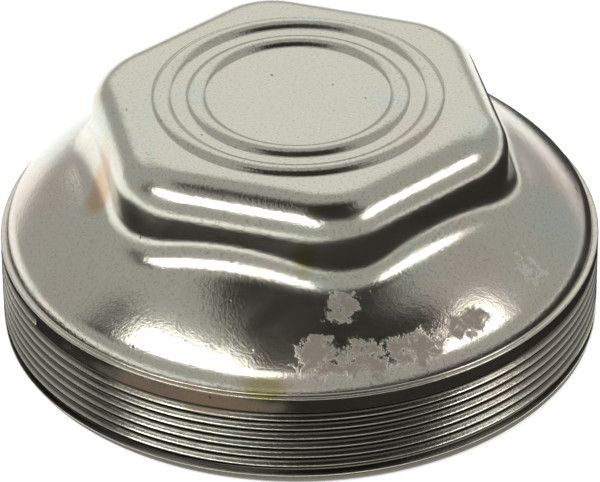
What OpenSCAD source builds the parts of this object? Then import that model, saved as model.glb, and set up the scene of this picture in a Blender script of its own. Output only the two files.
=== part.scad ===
// Screw-on dust cap for a wheel hub, pressed in one piece from plated steel sheet.
// A hexagonal crown for a spanner rises from a round dome, and a screwed skirt enters the hub.
// Origin: centre of the open rim. The rim stands on the ground plane and +Z is the cap's axis.

/* [Screwed skirt] */
// Outside diameter of the thread
thread_d = 110; // [104:0.5:124]
// Distance from one thread crest to the next
thread_pitch = 2; // [1.5:0.25:2.5]
// Radial depth of the thread grooves
thread_depth = 0.9; // [0.4:0.1:1.2]
// Width of the flat at the bottom of each groove
root_flat = 0.5; // [0.2:0.1:0.6]
// Height of the screwed skirt, from the rim to the foot of the dome
skirt_h = 19.3; // [16:0.1:24]
// Plain band left between the last groove and the dome
land_h = 1.6; // [1:0.1:3]
// Bevel that leads the thread into the hub
rim_bevel = 1.6; // [0.8:0.1:2]

/* [Dome] */
// Thickness of the pressed sheet
sheet = 2.4; // [1.8:0.1:3]
// Step from the thread crests in to the foot of the dome
dome_step = 0.8; // [0.5:0.1:1.2]
// Radius of the shoulder where the dome turns down to the skirt
shoulder_r = 8; // [6:0.5:10]
// Distance of the shoulder's centre below the top of the skirt
shoulder_drop = 1.5; // [1:0.1:2]
// Slope of the dome where its flatter part leaves the shoulder, in degrees
shoulder_angle = 47; // [44:1:50]
// Radius of the flatter part of the dome
cap_r = 49; // [46:1:54]

/* [Hexagonal crown] */
// Width across the flats, measured where the crown meets the dome
across_flats = 73; // [70:0.5:75]
// Radius of the six upright corners at the same level
corner_r = 16; // [15:0.5:17]
// Height of the whole cap, without the raised rings
cap_h = 47.5; // [46:0.5:51]
// Radius of the rounded edge round the top
top_edge_r = 7.5; // [6.5:0.5:8]
// Lean of the flats from upright, in degrees
draft = 4.5; // [3:0.5:6]
// Radius of the hollow where the flats meet the dome
foot_r = 7; // [5:0.5:8]

/* [Raised rings] */
// Outside diameter of the outer ring
outer_ring_d = 53.6; // [50:0.2:54.4]
// Outside diameter of the inner ring
inner_ring_d = 41; // [37:0.2:42]
// Width of each ring
ring_w = 3.9; // [3:0.1:4.5]
// Height of each ring above the top face
ring_h = 0.9; // [0.5:0.1:1.2]

/* [Hidden] */
$fn = 96;

crown_sides = 6;
facets = 96;
blend_steps = 7;
edge_steps = 6;
arc_steps = 6;

thread_r = thread_d / 2;
groove_half = root_flat / 2 + thread_depth * tan(30);
groove_count = floor((skirt_h - land_h - rim_bevel - 2 * groove_half) / thread_pitch) + 1;

dome_foot_r = thread_r - dome_step;
shoulder_centre = [dome_foot_r - shoulder_r, skirt_h - shoulder_drop];
cap_centre = shoulder_centre
    - (cap_r - shoulder_r) * [sin(shoulder_angle), cos(shoulder_angle)];

flat_apothem = across_flats / 2;
core_apothem = flat_apothem - corner_r;
half_side = 180 / crown_sides;
edge_centre_z = cap_h - top_edge_r;

// The pressed shell runs down behind the plain band and ends above the grooves
seat = 0.75 * land_h;
// Step from the shell's inner face in to the skirt's, which keeps the shell's facets inside the skirt
seat_inset = 0.1;
skirt_inner_r = dome_foot_r - sheet - seat_inset;

// Height of the cap arc at a radius, for the skin that lies a given depth below the outside
function cap_z(r, depth) = cap_centre[1] + sqrt(pow(cap_r - depth, 2) - pow(r - cap_centre[0], 2));

// Downward slope of the cap arc at a radius, in degrees
function cap_slope(r, depth) = asin((r - cap_centre[0]) / (cap_r - depth));

foot_z = cap_z(flat_apothem, 0);

// Apothem of the leaning flats at a height
function wall_apothem(z, depth) = flat_apothem - (z - foot_z) * tan(draft) - depth / cos(draft);

// Polar radius of the rounded hexagon of a given apothem, in the direction a
function hex_r(apothem, a) =
    let (
        from_corner = abs((a + half_side) % (2 * half_side) - half_side),
        from_flat = half_side - from_corner,
        corner = core_apothem / cos(half_side)
    )
    apothem * tan(from_flat) <= core_apothem * tan(half_side)
        ? apothem / cos(from_flat)
        : corner * cos(from_corner)
            + sqrt(pow(apothem - core_apothem, 2) - pow(corner * sin(from_corner), 2));

// The rounded top edge, from the flat top down to the wall
function edge_points(a, depth) =
    let (
        r = top_edge_r - depth,
        centre_apothem = wall_apothem(edge_centre_z, 0) - top_edge_r / cos(draft)
    )
    [for (i = [0 : edge_steps])
        let (turn = 90 - (90 - draft) * i / edge_steps)
        [hex_r(centre_apothem + r * cos(turn), a), edge_centre_z + r * sin(turn)]];

function bezier(p, t) =
    pow(1 - t, 3) * p[0] + 3 * pow(1 - t, 2) * t * p[1]
    + 3 * (1 - t) * pow(t, 2) * p[2] + pow(t, 3) * p[3];

// The point where the wall would meet the dome if there were no hollow between them
function foot_point(a, depth) =
    let (
        first = hex_r(wall_apothem(foot_z, depth), a),
        r = hex_r(wall_apothem(cap_z(first, depth), depth), a)
    )
    [r, cap_z(r, depth)];

// Radius on the dome where the hollow ends
function foot_end_r(a, depth) =
    let (
        foot = foot_point(a, depth),
        slope = cap_slope(foot[0], depth),
        leg = (foot_r + depth) * tan((90 - draft - slope) / 2)
    )
    foot[0] + leg * cos(slope);

// The hollow between wall and dome, a smooth curve tangent to both
function foot_points(a, depth) =
    let (
        foot = foot_point(a, depth),
        slope = cap_slope(foot[0], depth),
        turn = 90 - draft - slope,
        leg = (foot_r + depth) * tan(turn / 2),
        pull = 4 / 3 * tan(turn / 4) / tan(turn / 2),
        start_z = foot[1] + leg * cos(draft),
        start = [hex_r(wall_apothem(start_z, depth), a), start_z],
        end_r = foot_end_r(a, depth),
        end = [end_r, cap_z(end_r, depth)],
        end_slope = cap_slope(end_r, depth),
        curve = [
            start,
            start + pull * (foot - start),
            end + pull * leg * [-cos(end_slope), sin(end_slope)],
            end
        ]
    )
    [for (i = [0 : blend_steps]) bezier(curve, i / blend_steps)];

// The dome, from the end of the hollow over the cap and the shoulder to the skirt
function dome_points(a, depth) =
    let (
        first = cap_slope(foot_end_r(a, depth), depth),
        shoulder_end = 90 - asin(min(1, shoulder_drop / (shoulder_r - depth))),
        lip_r = shoulder_centre[0] + shoulder_r - depth
    )
    concat(
        [for (i = [1 : arc_steps])
            let (slope = first + (shoulder_angle - first) * i / arc_steps)
            cap_centre + (cap_r - depth) * [sin(slope), cos(slope)]],
        [for (i = [1 : arc_steps])
            let (slope = shoulder_angle + (shoulder_end - shoulder_angle) * i / arc_steps)
            shoulder_centre + (shoulder_r - depth) * [sin(slope), cos(slope)]],
        [[lip_r, skirt_h - seat]]
    );

function skin_points(a, depth) =
    concat(edge_points(a, depth), foot_points(a, depth), dome_points(a, depth));

// The pressed sheet: an outer and an inner skin, closed over the top and under the lip
module pressed_shell() {
    angles = [for (i = [0 : facets - 1]) 360 * i / facets];
    rows = edge_steps + blend_steps + 2 * arc_steps + 3;
    skin = facets * rows;
    points = concat(
        [for (depth = [0, sheet], a = angles)
            let (profile = skin_points(a, depth))
            each [for (p = profile) [p[0] * cos(a), p[0] * sin(a), p[1]]]],
        [[0, 0, cap_h], [0, 0, cap_h - sheet]]
    );
    outer_top = 2 * skin;
    inner_top = outer_top + 1;
    faces = [for (i = [0 : facets - 1])
        let (
            here = i * rows,
            next = ((i + 1) % facets) * rows
        )
        each concat(
            [[outer_top, next, here], [inner_top, skin + here, skin + next]],
            [for (k = [0 : rows - 2]) each [
                [here + k, next + k, next + k + 1],
                [here + k, next + k + 1, here + k + 1],
                [skin + here + k, skin + next + k + 1, skin + next + k],
                [skin + here + k, skin + here + k + 1, skin + next + k + 1]
            ]],
            [[here + rows - 1, next + rows - 1, skin + next + rows - 1],
             [here + rows - 1, skin + next + rows - 1, skin + here + rows - 1]]
        )];
    polyhedron(points, faces);
}

// One ring groove of the thread as points of the skirt's outline, from below to above
function groove_points(z) = [
    [thread_r, z - groove_half],
    [thread_r - thread_depth, z - root_flat / 2],
    [thread_r - thread_depth, z + root_flat / 2],
    [thread_r, z + groove_half]
];

// The skirt as one turned ring. Its grooves have the true pitch and section, without the helix.
module screwed_skirt() {
    top_groove_z = skirt_h - land_h - groove_half;
    grooves = [for (i = [groove_count - 1 : -1 : 0]) each groove_points(top_groove_z - i * thread_pitch)];
    rotate_extrude()
        polygon(concat(
            [[skirt_inner_r, 0], [thread_r - rim_bevel, 0], [thread_r, rim_bevel]],
            grooves,
            [[thread_r, skirt_h], [skirt_inner_r, skirt_h]]
        ));
}

// A round-backed ring that stands on a level, or a matching hollow when it is cut away
module round_ring(outside_d, level) {
    arc_r = (pow(ring_w / 2, 2) + pow(ring_h, 2)) / (2 * ring_h);
    translate([0, 0, level])
        rotate_extrude()
            translate([outside_d / 2 - ring_w / 2, ring_h - arc_r])
                circle(r = arc_r);
}

module raised_rings(level) {
    for (d = [outer_ring_d, inner_ring_d]) round_ring(d, level);
}

module cap() {
    color("lightsteelblue")
        difference() {
            union() {
                pressed_shell();
                screwed_skirt();
                raised_rings(cap_h);
            }
            raised_rings(cap_h - sheet);
        }
}

cap();
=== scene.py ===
import math

import bmesh
import bpy
from mathutils import Matrix, Vector


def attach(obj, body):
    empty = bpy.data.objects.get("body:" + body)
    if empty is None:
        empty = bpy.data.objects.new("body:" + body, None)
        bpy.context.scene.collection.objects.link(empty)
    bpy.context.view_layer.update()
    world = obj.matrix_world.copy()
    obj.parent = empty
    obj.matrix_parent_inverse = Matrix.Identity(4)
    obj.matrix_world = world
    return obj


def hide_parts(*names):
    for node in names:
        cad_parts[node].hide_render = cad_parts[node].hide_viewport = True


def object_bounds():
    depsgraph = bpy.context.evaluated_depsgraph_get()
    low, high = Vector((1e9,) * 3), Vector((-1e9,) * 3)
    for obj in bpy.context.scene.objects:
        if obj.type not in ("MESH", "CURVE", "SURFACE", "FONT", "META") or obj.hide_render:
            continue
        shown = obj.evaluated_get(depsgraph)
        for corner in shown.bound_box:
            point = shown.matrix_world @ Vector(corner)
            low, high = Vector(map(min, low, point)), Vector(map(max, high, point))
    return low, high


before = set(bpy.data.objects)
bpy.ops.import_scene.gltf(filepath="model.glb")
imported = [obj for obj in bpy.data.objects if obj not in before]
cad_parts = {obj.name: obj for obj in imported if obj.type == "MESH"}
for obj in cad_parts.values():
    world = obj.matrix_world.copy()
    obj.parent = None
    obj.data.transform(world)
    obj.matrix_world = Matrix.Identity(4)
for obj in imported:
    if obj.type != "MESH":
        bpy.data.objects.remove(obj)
CAD_BOX = [list(corner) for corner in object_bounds()]
MM = 0.001

bl_info = {
    "name": "Screwed hub dust cap",
    "version": (1, 0, 0),
    "blender": (4, 5, 0),
    "location": "3D View > Sidebar > Dust cap",
    "description": "Builds a pressed, zinc-plated hub dust cap with a helical thread, and its studio",
    "category": "Mesh",
}

HEX_SIDES = 6
HALF_SIDE = math.pi / HEX_SIDES
CAP_TOP = CAD_BOX[1][2] / MM
THREAD_R = CAD_BOX[1][0] / MM
WELD = 0.001 * MM

# How finely the section is stepped: millimetres across the top face, then the steps on its rounded
# edge, on the hollow and on each arc of the dome
OUTSIDE_STEPS = {"top": 0.33, "edge": 12, "foot": 16, "arc": 14}
INSIDE_STEPS = {"top": 0.8, "edge": 8, "foot": 10, "arc": 8}
ROWS_PER_PITCH = 13
BEVEL_STEPS = 4

# Small forms of the skirt, in millimetres
LIP_CHAMFER = 0.2
PLAIN_LIP = 0.4
BEVEL_GROOVE = 0.25
RIM_CHAMFER = 0.3

# The groove's depth where the helix runs out and what it gains in one turn, as shares of the full depth
RUN_OUT_DEPTH = 0.3
RUN_OUT_GAIN = 3.0

# Where the groove ends over the rim, as a share of the bevel, and the height of its fade in millimetres
LOW_END = 0.4
LOW_FADE = 0.8

# A power under 1 widens the groove's root and narrows its crest
ROOT_POWER = 0.6


class CapShape(bpy.types.PropertyGroup):
    """Sizes in millimetres. All but the land, the thread's start and the segments are the solid's"""

    skirt_h: bpy.props.FloatProperty(name="Skirt height", description="Rim to the foot of the dome",
                                     default=19.3)
    pitch: bpy.props.FloatProperty(name="Thread pitch", description="Crest to crest", default=2.0)
    thread_depth: bpy.props.FloatProperty(name="Thread depth", description="Radial depth of the thread",
                                          default=0.9)
    land: bpy.props.FloatProperty(name="Land", description="Narrowest part of the band under the dome",
                                  default=1.2)
    thread_start: bpy.props.FloatProperty(name="Thread start", description="Where the helix runs out",
                                          subtype="ANGLE", default=math.radians(228))
    bevel: bpy.props.FloatProperty(name="Rim bevel", description="Bevel at the open rim", default=1.6)
    sheet: bpy.props.FloatProperty(name="Sheet", description="Thickness of the pressed sheet", default=2.4)
    dome_step: bpy.props.FloatProperty(name="Dome step", description="Thread crest in to the dome",
                                       default=0.8)
    shoulder_r: bpy.props.FloatProperty(name="Shoulder radius", description="Turn of the dome to the skirt",
                                        default=8.0)
    shoulder_drop: bpy.props.FloatProperty(name="Shoulder drop", description="Centre below the skirt's top",
                                           default=1.5)
    shoulder_angle: bpy.props.FloatProperty(name="Shoulder slope", description="Slope above the shoulder",
                                            subtype="ANGLE", default=math.radians(47))
    cap_r: bpy.props.FloatProperty(name="Dome radius", description="Radius of the dome's flatter part",
                                   default=49.0)
    flats: bpy.props.FloatProperty(name="Across flats", description="Hexagon width where it meets the dome",
                                   default=73.0)
    corner_r: bpy.props.FloatProperty(name="Corner radius", description="Upright corners of the hexagon",
                                      default=16.0)
    edge_r: bpy.props.FloatProperty(name="Top edge radius", description="Rounded edge round the top",
                                    default=7.5)
    draft: bpy.props.FloatProperty(name="Draft", description="Lean of the flats", subtype="ANGLE",
                                   default=math.radians(4.5))
    foot_r: bpy.props.FloatProperty(name="Foot hollow", description="Hollow between crown and dome",
                                    default=7.0)
    outer_ring: bpy.props.FloatProperty(name="Outer ring", description="Outside diameter of the outer ring",
                                        default=53.6)
    inner_ring: bpy.props.FloatProperty(name="Inner ring", description="Outside diameter of the inner ring",
                                        default=41.0)
    ring_w: bpy.props.FloatProperty(name="Ring width", description="Width of each raised ring", default=3.9)
    ring_h: bpy.props.FloatProperty(name="Ring height", description="Height of each raised ring",
                                    default=0.9)
    segments: bpy.props.IntProperty(name="Segments", description="Steps round the cap", default=252)


class CapFinish(bpy.types.PropertyGroup):
    """Colours of the plating, its stains, the painted shade deep in its thread and the studio"""

    zinc: bpy.props.FloatVectorProperty(name="Zinc", description="Colour of the plating",
                                        subtype="COLOR", size=4, default=(0.57, 0.565, 0.475, 1))
    pink: bpy.props.FloatVectorProperty(name="Pink tint", description="Warm tint of the passivation",
                                        subtype="COLOR", size=4, default=(0.60, 0.50, 0.44, 1))
    teal: bpy.props.FloatVectorProperty(name="Teal tint", description="Cold tint of the passivation",
                                        subtype="COLOR", size=4, default=(0.45, 0.58, 0.54, 1))
    residue: bpy.props.FloatVectorProperty(name="Residue", description="Dried grey-brown deposit",
                                           subtype="COLOR", size=4, default=(0.17, 0.14, 0.11, 1))
    rust: bpy.props.FloatVectorProperty(name="Rust", description="Rust stain on the upper threads",
                                        subtype="COLOR", size=4, default=(0.30, 0.15, 0.06, 1))
    tan: bpy.props.FloatVectorProperty(name="Tan streak", description="Orange-tan streak in the foot hollow",
                                       subtype="COLOR", size=4, default=(0.50, 0.34, 0.20, 1))
    # Painted shade: dark colour laid deep in the thread's grooves, where shade falls
    painted_root_shade: bpy.props.FloatVectorProperty(name="Grime", description="Dark dirt in the thread",
                                         subtype="COLOR", size=4, default=(0.06, 0.055, 0.04, 1))
    lichen: bpy.props.FloatVectorProperty(name="Yellow stain", description="Yellow-green stain",
                                          subtype="COLOR", size=4, default=(0.34, 0.30, 0.08, 1))
    pale: bpy.props.FloatVectorProperty(name="Pale spot", description="Pale deposit on the right",
                                        subtype="COLOR", size=4, default=(0.8, 0.78, 0.7, 1))
    speck: bpy.props.FloatVectorProperty(name="Specks", description="Dark grain of the plating",
                                         subtype="COLOR", size=4, default=(0.2, 0.19, 0.17, 1))
    pit: bpy.props.FloatVectorProperty(name="Pits", description="Small dark pits",
                                       subtype="COLOR", size=4, default=(0.12, 0.10, 0.08, 1))
    floor: bpy.props.FloatVectorProperty(name="Floor", description="Pale floor",
                                         subtype="COLOR", size=4, default=(0.9, 0.9, 0.9, 1))
    dark: bpy.props.FloatVectorProperty(name="Dark cards", description="Cards that darken reflections",
                                        subtype="COLOR", size=4, default=(0.012, 0.009, 0.006, 1))


def at_top_of_circle(centre, radius, slope):
    """Point of an arc where its outside slopes down by an angle"""
    return Vector((centre[0] + radius * math.sin(slope), centre[1] + radius * math.cos(slope)))


class Section:
    """The cap's section at any angle round its axis, from the centre of the top outwards"""

    def __init__(self, shape):
        self.s = s = shape
        self.dome_r = THREAD_R - s.dome_step
        self.top = CAP_TOP - s.ring_h
        self.shoulder = Vector((self.dome_r - s.shoulder_r, s.skirt_h - s.shoulder_drop))
        reach = s.cap_r - s.shoulder_r
        self.cap = self.shoulder - reach * Vector((math.sin(s.shoulder_angle), math.cos(s.shoulder_angle)))
        self.core = s.flats / 2 - s.corner_r
        self.foot_z = self.cap_z(s.flats / 2, 0)
        self.edge_z = self.top - s.edge_r
        self.flat_apothem = self.wall(self.edge_z, 0) - s.edge_r / math.cos(s.draft)

    def cap_z(self, r, depth):
        """Height of the dome's flatter part at a radius, some depth under the outside"""
        return self.cap[1] + math.sqrt((self.s.cap_r - depth) ** 2 - (r - self.cap[0]) ** 2)

    def cap_slope(self, r, depth):
        """How steeply that part slopes down at a radius"""
        return math.asin((r - self.cap[0]) / (self.s.cap_r - depth))

    def wall(self, z, depth):
        """Distance of a leaning flat from the axis at a height"""
        s = self.s
        return s.flats / 2 - (z - self.foot_z) * math.tan(s.draft) - depth / math.cos(s.draft)

    def hex_r(self, apothem, a):
        """Radius of the rounded hexagon at an angle round the axis"""
        from_corner = abs((a + HALF_SIDE) % (2 * HALF_SIDE) - HALF_SIDE)
        from_flat = HALF_SIDE - from_corner
        if apothem * math.tan(from_flat) <= self.core * math.tan(HALF_SIDE):
            return apothem / math.cos(from_flat)
        corner = self.core / math.cos(HALF_SIDE)
        rise = (apothem - self.core) ** 2 - (corner * math.sin(from_corner)) ** 2
        return corner * math.cos(from_corner) + math.sqrt(rise)

    def ring_rise(self, r):
        """Height of the raised rings over the top face at a radius"""
        s = self.s
        arc = ((s.ring_w / 2) ** 2 + s.ring_h ** 2) / (2 * s.ring_h)
        rise = 0.0
        for outside in (s.outer_ring, s.inner_ring):
            off = abs(r - (outside / 2 - s.ring_w / 2))
            if off < s.ring_w / 2:
                rise = math.sqrt(arc ** 2 - off ** 2) - (arc - s.ring_h)
        return rise

    def top_rows(self, depth, step):
        """Top face with its rings, from the centre out"""
        inner_edge = self.s.inner_ring / 2 - self.s.ring_w - step
        outer_edge = self.s.outer_ring / 2 + step
        rows = [Vector((0, self.top - depth)), Vector((inner_edge / 2, self.top - depth))]
        count = round((outer_edge - inner_edge) / step)
        for i in range(count + 1):
            r = inner_edge + (outer_edge - inner_edge) * i / count
            rows.append(Vector((r, self.top - depth + self.ring_rise(r))))
        return rows

    def shell_rows(self, a, depth, steps):
        """Top, rounded edge, flats, hollow and dome, as points of radius and height"""
        s = self.s
        rows = self.top_rows(depth, steps["top"])
        edge_steps, foot_steps, arc_steps = steps["edge"], steps["foot"], steps["arc"]
        r = s.edge_r - depth
        for i in range(edge_steps + 1):
            turn = math.pi / 2 - (math.pi / 2 - s.draft) * i / edge_steps
            rows.append(Vector((self.hex_r(self.flat_apothem + r * math.cos(turn), a),
                                self.edge_z + r * math.sin(turn))))
        first = self.hex_r(self.wall(self.foot_z, depth), a)
        foot_r = self.hex_r(self.wall(self.cap_z(first, depth), depth), a)
        foot = Vector((foot_r, self.cap_z(foot_r, depth)))
        slope = self.cap_slope(foot_r, depth)
        turn = math.pi / 2 - s.draft - slope
        leg = (s.foot_r + depth) * math.tan(turn / 2)
        pull = 4 / 3 * math.tan(turn / 4) / math.tan(turn / 2)
        start_z = foot[1] + leg * math.cos(s.draft)
        start = Vector((self.hex_r(self.wall(start_z, depth), a), start_z))
        end_r = foot_r + leg * math.cos(slope)
        end = Vector((end_r, self.cap_z(end_r, depth)))
        end_slope = self.cap_slope(end_r, depth)
        handle = end + pull * leg * Vector((-math.cos(end_slope), math.sin(end_slope)))
        lead = start + pull * (foot - start)
        for i in range(foot_steps + 1):
            t = i / foot_steps
            rows.append((1 - t) ** 3 * start + 3 * (1 - t) ** 2 * t * lead
                        + 3 * (1 - t) * t ** 2 * handle + t ** 3 * end)
        for i in range(1, arc_steps + 1):
            slope = end_slope + (s.shoulder_angle - end_slope) * i / arc_steps
            rows.append(at_top_of_circle(self.cap, s.cap_r - depth, slope))
        last = math.pi / 2 - math.asin(s.shoulder_drop / (s.shoulder_r - depth))
        for i in range(1, arc_steps + 1):
            slope = s.shoulder_angle + (last - s.shoulder_angle) * i / arc_steps
            rows.append(at_top_of_circle(self.shoulder, s.shoulder_r - depth, slope))
        return rows

    def groove(self, a, z):
        """How deep the helical groove is at a place, from 0 on a crest to 1 in the root"""
        s = self.s
        round_from_start = (a - s.thread_start) % (2 * math.pi) / (2 * math.pi)
        turns = (s.skirt_h - s.land - z) / s.pitch - (1 - round_from_start)
        fade_top = min(1, max(0, turns * RUN_OUT_GAIN + RUN_OUT_DEPTH))
        fade_low = min(1, max(0, (z - s.bevel * LOW_END) / LOW_FADE))
        wave = 0.5 - 0.5 * math.cos(2 * math.pi * turns)
        return fade_top * fade_low * wave ** ROOT_POWER

    def skirt_rows(self, a):
        """Lip under the dome, thread, bevel and the skirt's inside"""
        s = self.s
        rows = [Vector((self.dome_r, s.skirt_h)), Vector((THREAD_R - LIP_CHAMFER, s.skirt_h)),
                Vector((THREAD_R, s.skirt_h - LIP_CHAMFER))]
        top = s.skirt_h - PLAIN_LIP
        count = round((top - s.bevel) / s.pitch * ROWS_PER_PITCH)
        for i in range(count + 1):
            z = top - (top - s.bevel) * i / count
            rows.append(Vector((THREAD_R - s.thread_depth * self.groove(a, z), z)))
        for i in range(1, BEVEL_STEPS + 1):
            z = s.bevel * (1 - i / BEVEL_STEPS)
            rows.append(Vector((THREAD_R - s.bevel * i / BEVEL_STEPS - BEVEL_GROOVE * self.groove(a, z), z)))
        inner = self.dome_r - s.sheet
        rows += [Vector((inner + RIM_CHAMFER, 0)), Vector((inner, RIM_CHAMFER))]
        rows.append(Vector((inner, s.skirt_h / 2)))
        return rows

    def rows(self, a):
        """The whole closed section, from the outer centre round the rim to the inner centre"""
        outside = self.shell_rows(a, 0, OUTSIDE_STEPS)
        inside = self.shell_rows(a, self.s.sheet, INSIDE_STEPS)
        return outside + self.skirt_rows(a) + inside[::-1]


def cap_mesh(shape):
    """Spins the section round the axis and presses each row into its hexagon, dome or helix"""
    section = Section(shape)
    first = section.rows(0)
    bm = bmesh.new()
    row_layer = bm.verts.layers.int.new("row")
    verts = []
    for row, point in enumerate(first):
        vert = bm.verts.new((point[0] * MM, 0, point[1] * MM))
        vert[row_layer] = row
        verts.append(vert)
    edges = [bm.edges.new(pair) for pair in zip(verts, verts[1:])]
    bmesh.ops.spin(bm, geom=verts + edges, cent=(0, 0, 0), axis=(0, 0, 1), angle=2 * math.pi,
                   steps=shape.segments, use_merge=True)
    sections = {}
    last_row = len(first) - 1
    for vert in bm.verts:
        row = vert[row_layer]
        if row in (0, last_row):
            vert.co.x = vert.co.y = 0
            continue
        turn = math.atan2(vert.co.y, vert.co.x)
        step = round(turn / (2 * math.pi) * shape.segments) % shape.segments
        a = step * 2 * math.pi / shape.segments
        if step not in sections:
            sections[step] = section.rows(a)
        point = sections[step][row]
        vert.co = (point[0] * MM * math.cos(a), point[0] * MM * math.sin(a), point[1] * MM)
    bmesh.ops.remove_doubles(bm, verts=bm.verts, dist=WELD)
    bmesh.ops.recalc_face_normals(bm, faces=bm.faces)
    for face in bm.faces:
        face.smooth = True
    mesh = bpy.data.meshes.new("pressed_cap")
    bm.to_mesh(mesh)
    bm.free()
    return mesh


class Wire:
    """A shader socket that takes part in Python sums"""

    def __init__(self, tree, socket):
        self.tree = tree
        self.socket = socket

    def maths(self, operation, other, swap=False):
        pair = [other, self] if swap else [self, other]
        return Shader.add(self.tree, "ShaderNodeMath", {"operation": operation}, dict(enumerate(pair)))

    def __add__(self, other):
        return self.maths("ADD", other)

    __radd__ = __add__

    def __sub__(self, other):
        return self.maths("SUBTRACT", other)

    def __rsub__(self, other):
        return self.maths("SUBTRACT", other, True)

    def __mul__(self, other):
        return self.maths("MULTIPLY", other)

    __rmul__ = __mul__

    def up_to(self, other):
        return self.maths("MINIMUM", other)


class Shader:
    """A material's node tree and the one way to add a node to it"""

    def __init__(self, name):
        self.material = bpy.data.materials.new(name)
        self.material.use_nodes = True
        self.tree = self.material.node_tree
        self.bsdf = self.tree.nodes["Principled BSDF"]

    @staticmethod
    def add(tree, kind, settings=None, inputs=None, output=0):
        node = tree.nodes.new(kind)
        for key, value in (settings or {}).items():
            setattr(node, key, value)
        for key, value in (inputs or {}).items():
            if isinstance(value, Wire):
                tree.links.new(value.socket, node.inputs[key])
            else:
                node.inputs[key].default_value = value
        return Wire(tree, node.outputs[output])

    def node(self, kind, settings=None, inputs=None, output=0):
        return Shader.add(self.tree, kind, settings, inputs, output)

    def place(self):
        return self.node("ShaderNodeTexCoord", output="Object")

    def noise(self, place, scale, detail=3.0, rough=0.55, warp=0.0):
        return self.node("ShaderNodeTexNoise", {}, {"Vector": place, "Scale": scale, "Detail": detail,
                                                    "Roughness": rough, "Distortion": warp})

    def ramp(self, value, low, high):
        """Smooth mask from 0 at low to 1 at high, and the other way round where low is the larger"""
        return self.node("ShaderNodeMapRange", {"interpolation_type": "SMOOTHSTEP"},
                         {"Value": value, "From Min": low, "From Max": high})

    def blend(self, factor, under, over):
        return self.node("ShaderNodeMix", {"data_type": "RGBA"}, {0: factor, 6: under, 7: over}, output=2)

    def near(self, place, spot, radius, soft):
        """Mask that is 1 near a spot given in millimetres, with radii along each axis"""
        shift = self.node("ShaderNodeVectorMath", {"operation": "SUBTRACT"},
                          {0: place, 1: [c * MM for c in spot]})
        scaled = self.node("ShaderNodeVectorMath", {"operation": "DIVIDE"},
                           {0: shift, 1: [c * MM for c in radius]})
        far = self.node("ShaderNodeVectorMath", {"operation": "LENGTH"}, {0: scaled}, output=1)
        return self.ramp(far, 1 + soft, 1 - soft)

    def nearest(self, place, spots, soft):
        """Mask that is 1 near any of several spots"""
        masks = [self.near(place, spot, radius, soft) for spot, radius in spots]
        total = masks[0]
        for mask in masks[1:]:
            total = total.maths("MAXIMUM", mask)
        return total

    def torn(self, area, noise, reach, low, high):
        """Mask of an area with its edge torn by a noise"""
        return self.ramp(area * reach + noise, low, high)

    def cover(self, under, over, mask, amount):
        """Lays one colour over another where a mask is, by an amount from 0 to 1"""
        return self.blend(mask * amount, under, tuple(over))

    def feed(self, name, value):
        if isinstance(value, Wire):
            self.tree.links.new(value.socket, self.bsdf.inputs[name])
        else:
            self.bsdf.inputs[name].default_value = value


# Places and half sizes of the stains, in millimetres
RESIDUE_SPOTS = (((20, -38, 30), (4, 5, 3.5)), ((19, -47, 25), (5, 6, 5)), ((26, -44, 24), (8, 6, 4)),
                 ((34, -38, 24), (8, 7, 3.5)), ((41, -29, 25), (6, 6, 2.5)))
YELLOW_SPOTS = (((10.7, -52.7, 20.4), (4, 3, 2.2)), ((13, -37, 38), (2, 3, 3)))
TAN_SPOTS = (((-30, -21, 36), (4, 7, 6)),)
PALE_SPOTS = (((47, -11, 26), (4, 4, 3)),)
RUST_SPOTS = (((-8, -54, 17), (30, 12, 3.0)),)
PINK_SPOTS = (((-46, -12, 27), (12, 20, 12)), ((46, 20, 27), (12, 16, 12)))
BLUE_SPOTS = (((-47, 3, 28), (7, 9, 8)), ((48, 4, 27), (6, 7, 8)))

# Where the painted shade in the thread's grooves goes from none to full, in millimetres: by height, by
# radius, and under the crests
ROOT_SHADE_HEIGHT = (18.9, 18.4)
ROOT_SHADE_RADIUS = (53.0, 53.6)
ROOT_SHADE_DEPTH = (0.1, 0.7)

# What each layer adds to the roughness and to the relief, from which the pits are taken in full
ROUGHNESS = {"plate": 0.1, "clouds": 0.08, "grain": 0.08, "dull": 0.35}
RELIEF = {"grain": 0.8, "fine": 0.6, "residue": 1.2}
BUMP_STRENGTH = 0.36
BUMP_DISTANCE = 0.1 * MM

# How much the rust covers, how far it dulls beside the residue, and the metal that dull places lose
RUST_COVER = 0.7
RUST_DULLS = 0.6
METAL_LOST = 0.75


def root_shade_mask(m, place):
    """Mask of painted shade, 1 deep in the thread and 0 on its crests, on the dome and inside"""
    flat = m.node("ShaderNodeVectorMath", {"operation": "MULTIPLY"}, {0: place, 1: (1, 1, 0)})
    radius = m.node("ShaderNodeVectorMath", {"operation": "LENGTH"}, {0: flat}, output=1)
    height = m.node("ShaderNodeSeparateXYZ", {}, {0: place}, output=2)
    below_dome = m.ramp(height, *[z * MM for z in ROOT_SHADE_HEIGHT])
    outside = m.ramp(radius, *[r * MM for r in ROOT_SHADE_RADIUS])
    in_groove = m.ramp(radius, *[(THREAD_R - depth) * MM for depth in ROOT_SHADE_DEPTH])
    return below_dome * outside * in_groove


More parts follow.
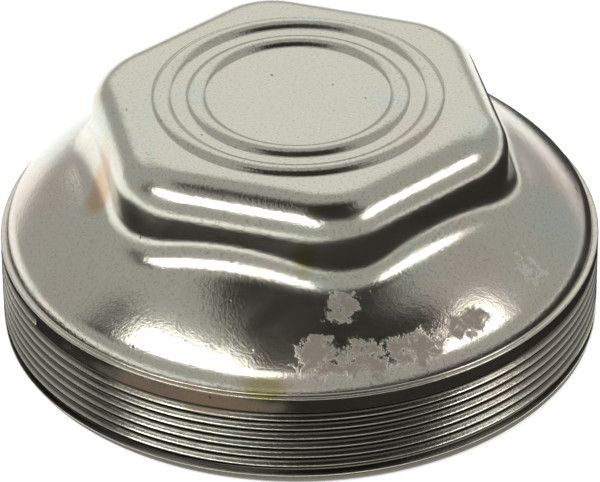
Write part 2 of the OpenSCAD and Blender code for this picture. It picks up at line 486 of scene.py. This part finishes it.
def zinc_plate(finish):
    """Bright zinc plate with faint passivation colours, dried residue, stains, pits and painted shade deep
    in the thread
    """
    m = Shader("zinc_plate")
    place = m.place()
    broad = m.noise(place, scale=22.0, detail=2.0)
    cloudy = m.noise(place, scale=60.0, detail=4.0, rough=0.6, warp=0.5)
    grain = m.noise(place, scale=2000.0, detail=3.0, rough=0.7)
    fine = m.noise(place, scale=700.0, detail=2.0, rough=0.6)
    ragged = m.noise(place, scale=420.0, detail=5.0, rough=0.72, warp=0.3)
    colour = tuple(finish.zinc)
    colour = m.cover(colour, finish.pink, m.ramp(broad, low=0.52, high=0.68), amount=0.6)
    colour = m.cover(colour, finish.teal, m.ramp(cloudy, low=0.56, high=0.72), amount=0.35)
    colour = m.cover(colour, finish.pink, m.nearest(place, PINK_SPOTS, soft=0.8), amount=0.55)
    colour = m.cover(colour, finish.teal, m.nearest(place, BLUE_SPOTS, soft=0.8), amount=0.4)
    tan = m.torn(m.nearest(place, TAN_SPOTS, soft=0.8), cloudy, reach=0.6, low=0.7, high=1.1)
    colour = m.cover(colour, finish.tan, tan, amount=0.85)
    pale = m.torn(m.nearest(place, PALE_SPOTS, soft=0.8), fine, reach=0.3, low=0.72, high=0.8)
    colour = m.cover(colour, finish.pale, pale, amount=0.6)
    colour = m.cover(colour, finish.speck, m.ramp(grain, low=0.52, high=0.7), amount=0.42)
    patch = m.torn(m.nearest(place, RESIDUE_SPOTS, soft=0.6), ragged, reach=0.5, low=0.84, high=1.02)
    rust_area = m.nearest(place, RUST_SPOTS, soft=0.6)
    rust = m.torn(rust_area, cloudy, reach=0.6, low=0.78, high=1.2) * RUST_COVER
    colour = m.blend(rust, colour, tuple(finish.rust))
    colour = m.cover(colour, finish.lichen, m.nearest(place, YELLOW_SPOTS, soft=0.6), amount=0.7)
    # Painted shade: the thread's grooves darkened where shade falls in them
    colour = m.cover(colour, finish.painted_root_shade, root_shade_mask(m, place), amount=0.85)
    pits = m.ramp(m.noise(place, scale=520.0, detail=1.0, rough=0.4), low=0.22, high=0.18)
    colour = m.cover(colour, finish.pit, pits, amount=0.8)
    colour = m.cover(colour, finish.residue, patch, amount=0.85)
    dull = (patch + rust * RUST_DULLS).up_to(1.0)
    clouds = m.ramp(cloudy, low=0.35, high=0.7)
    m.feed("Base Color", colour)
    m.feed("Metallic", 1 - dull * METAL_LOST)
    m.feed("Roughness", ROUGHNESS["plate"] + ROUGHNESS["clouds"] * clouds
           + grain * ROUGHNESS["grain"] + dull * ROUGHNESS["dull"])
    relief = grain * RELIEF["grain"] + fine * RELIEF["fine"] + patch * RELIEF["residue"] - pits
    bump = m.node("ShaderNodeBump", {}, {"Strength": BUMP_STRENGTH, "Distance": BUMP_DISTANCE,
                                         "Height": relief})
    m.feed("Normal", bump)
    return m.material


def plain(name, colour, rough):
    """A material of one colour"""
    m = Shader(name)
    m.feed("Base Color", colour)
    m.feed("Roughness", rough)
    return m.material


def add_object(name, mesh, material):
    """Puts a mesh in the scene with its material"""
    piece = bpy.data.objects.new(name, mesh)
    bpy.context.collection.objects.link(piece)
    mesh.materials.append(material)
    return piece


class DUSTCAP_OT_cap(bpy.types.Operator):
    """Build the plated cap with its helical thread"""

    bl_idname = "dustcap.cap"
    bl_label = "Plated cap"

    def execute(self, context):
        scene = context.scene
        cap = add_object("plated_cap", cap_mesh(scene.cap_shape), zinc_plate(scene.cap_finish))
        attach(cap, "root")
        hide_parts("cap")
        return {"FINISHED"}


CAMERA = {"azimuth": 18.45, "elevation": 34.11, "distance": 1.001, "lens": 325.5, "aim_z": 0.01563,
          "roll": -0.0098, "shift_x": 0.00075}

# Width of the sensor in millimetres, and where the view begins and ends in metres
SENSOR_WIDTH = 36
CLIP = (0.01, 20)

CAP_MIDDLE = (0, 0, 0.03)
FLOOR_SIZE = (6, 6)
FLOOR_ROUGH = 0.8
FLOOR_GLOW = 0.62
CARD_ROUGH = 0.9
WORLD_STRENGTH = 0.52
WHITE_STRENGTH = 1.0

# Name, place, width and height, and the place faced, in metres as from_camera takes them
DARK_CARDS = (
    ("low_card", (0.14, 0.29, 0.004), (0.78, 0.48), (0.12, 0.3, 1)),
    ("high_card", (0.04, 0.26, 0.72), (0.66, 0.7), CAP_MIDDLE),
    ("left_card", (-0.74, 0.12, 0.5), (0.22, 0.4), CAP_MIDDLE),
    ("right_card", (0.46, 0.3, 0.66), (0.34, 0.3), CAP_MIDDLE),
)

# Name, place, width and height in metres, and power in watts
SOFTBOXES = (
    ("left_box", (-0.44, 0.5, 0.6), (0.8, 0.2), 2.8),
    ("right_box", (0.72, 0.24, 0.58), (0.42, 0.2), 1.3),
    ("back_box", (0.0, -0.9, 0.62), (1.5, 0.7), 1.7),
)


def card(name, centre, size, facing, material):
    """A flat rectangular card that faces a point"""
    bm = bmesh.new()
    bmesh.ops.create_grid(bm, x_segments=1, y_segments=1, size=0.5)
    bmesh.ops.scale(bm, vec=(size[0], size[1], 1), verts=bm.verts)
    turn = (Vector(facing) - Vector(centre)).to_track_quat("Z", "Y").to_matrix()
    bmesh.ops.rotate(bm, cent=(0, 0, 0), matrix=turn, verts=bm.verts)
    bmesh.ops.translate(bm, vec=centre, verts=bm.verts)
    mesh = bpy.data.meshes.new(name)
    bm.to_mesh(mesh)
    bm.free()
    return add_object(name, mesh, material)


def softbox(name, centre, size, power):
    """A soft lamp aimed at the middle of the cap"""
    lamp = bpy.data.lights.new(name, "AREA")
    lamp.shape = "RECTANGLE"
    lamp.size, lamp.size_y = size
    lamp.energy = power
    holder = bpy.data.objects.new(name, lamp)
    holder.location = centre
    holder.rotation_euler = (Vector(centre) - Vector(CAP_MIDDLE)).to_track_quat("Z", "Y").to_euler()
    bpy.context.collection.objects.link(holder)


def from_camera(right, out, up):
    """A place in metres, given by how far it lies to the camera's right, towards the camera, and up"""
    a = math.radians(CAMERA["azimuth"])
    return (right * math.cos(a) + out * math.sin(a), right * math.sin(a) - out * math.cos(a), up)


class DUSTCAP_OT_stage(bpy.types.Operator):
    """Set up the pale floor, softboxes, dark cards and camera"""

    bl_idname = "dustcap.stage"
    bl_label = "Studio"

    def execute(self, context):
        scene = context.scene
        finish = scene.cap_finish
        scene.view_settings.view_transform = "Standard"
        floor = card("floor", (0, 0, 0), FLOOR_SIZE, (0, 0, 1), self.floor_material(finish))
        dark = plain("dark_card", tuple(finish.dark), CARD_ROUGH)
        for name, place, size, facing in DARK_CARDS:
            flag = card(name, from_camera(*place), size, from_camera(*facing), dark)
            flag.visible_camera = False
            flag.visible_diffuse = False
            flag.visible_shadow = False
        for name, place, size, power in SOFTBOXES:
            softbox(name, from_camera(*place), size, power)
        self.world(scene)
        self.camera(scene)
        return {"FINISHED"}

    def floor_material(self, finish):
        """Pale floor that shows white to the camera where no shadow falls, and is clear from below"""
        m = Shader("floor")
        m.feed("Base Color", tuple(finish.floor))
        m.feed("Roughness", FLOOR_ROUGH)
        m.feed("Emission Color", (1, 1, 1, 1))
        m.feed("Emission Strength", FLOOR_GLOW)
        under = m.node("ShaderNodeNewGeometry", output="Backfacing")
        clear = m.node("ShaderNodeBsdfTransparent")
        top_side = Wire(m.tree, m.bsdf.outputs[0])
        seen = m.node("ShaderNodeMixShader", {}, {0: under, 1: top_side, 2: clear})
        m.tree.links.new(seen.socket, m.tree.nodes["Material Output"].inputs["Surface"])
        return m.material

    def world(self, scene):
        """Even light from all round, which the camera sees as white"""
        world = bpy.data.worlds.new("studio")
        scene.world = world
        world.use_nodes = True
        tree = world.node_tree
        to_camera = Shader.add(tree, "ShaderNodeLightPath", output="Is Camera Ray")
        strength = WORLD_STRENGTH + (WHITE_STRENGTH - WORLD_STRENGTH) * to_camera
        ground = tree.nodes["Background"]
        ground.inputs["Color"].default_value = (1, 1, 1, 1)
        tree.links.new(strength.socket, ground.inputs["Strength"])

    def camera(self, scene):
        """Long lens at the photo's angle"""
        lens = bpy.data.cameras.new("camera")
        lens.sensor_width = SENSOR_WIDTH
        lens.lens = CAMERA["lens"]
        lens.shift_x = CAMERA["shift_x"]
        lens.clip_start, lens.clip_end = CLIP
        holder = bpy.data.objects.new("camera", lens)
        out = math.cos(math.radians(CAMERA["elevation"])) * CAMERA["distance"]
        up = math.sin(math.radians(CAMERA["elevation"])) * CAMERA["distance"]
        holder.location = Vector(from_camera(0, out, up)) + Vector((0, 0, CAMERA["aim_z"]))
        look = Vector((0, 0, CAMERA["aim_z"])) - holder.location
        turn = look.to_track_quat("-Z", "Y").to_matrix() @ Matrix.Rotation(CAMERA["roll"], 3, "Z")
        holder.rotation_euler = turn.to_euler()
        bpy.context.collection.objects.link(holder)
        scene.camera = holder


class DUSTCAP_PT_panel(bpy.types.Panel):
    """Sizes and colours of the cap, with a button for each part of the scene"""

    bl_idname = "DUSTCAP_PT_panel"
    bl_label = "Dust cap"
    bl_space_type = "VIEW_3D"
    bl_region_type = "UI"
    bl_category = "Dust cap"

    def draw(self, context):
        column = self.layout.column()
        for name in CapShape.__annotations__:
            column.prop(context.scene.cap_shape, name)
        for name in CapFinish.__annotations__:
            column.prop(context.scene.cap_finish, name)
        column.operator(DUSTCAP_OT_cap.bl_idname)
        column.operator(DUSTCAP_OT_stage.bl_idname)


CLASSES = (CapShape, CapFinish, DUSTCAP_OT_cap, DUSTCAP_OT_stage, DUSTCAP_PT_panel)


def register():
    for cls in CLASSES:
        bpy.utils.register_class(cls)
    bpy.types.Scene.cap_shape = bpy.props.PointerProperty(type=CapShape)
    bpy.types.Scene.cap_finish = bpy.props.PointerProperty(type=CapFinish)


def unregister():
    del bpy.types.Scene.cap_finish
    del bpy.types.Scene.cap_shape
    for cls in reversed(CLASSES):
        bpy.utils.unregister_class(cls)


def main():
    register()
    bpy.ops.dustcap.cap()
    bpy.ops.dustcap.stage()


if __name__ == "__main__":
    main()
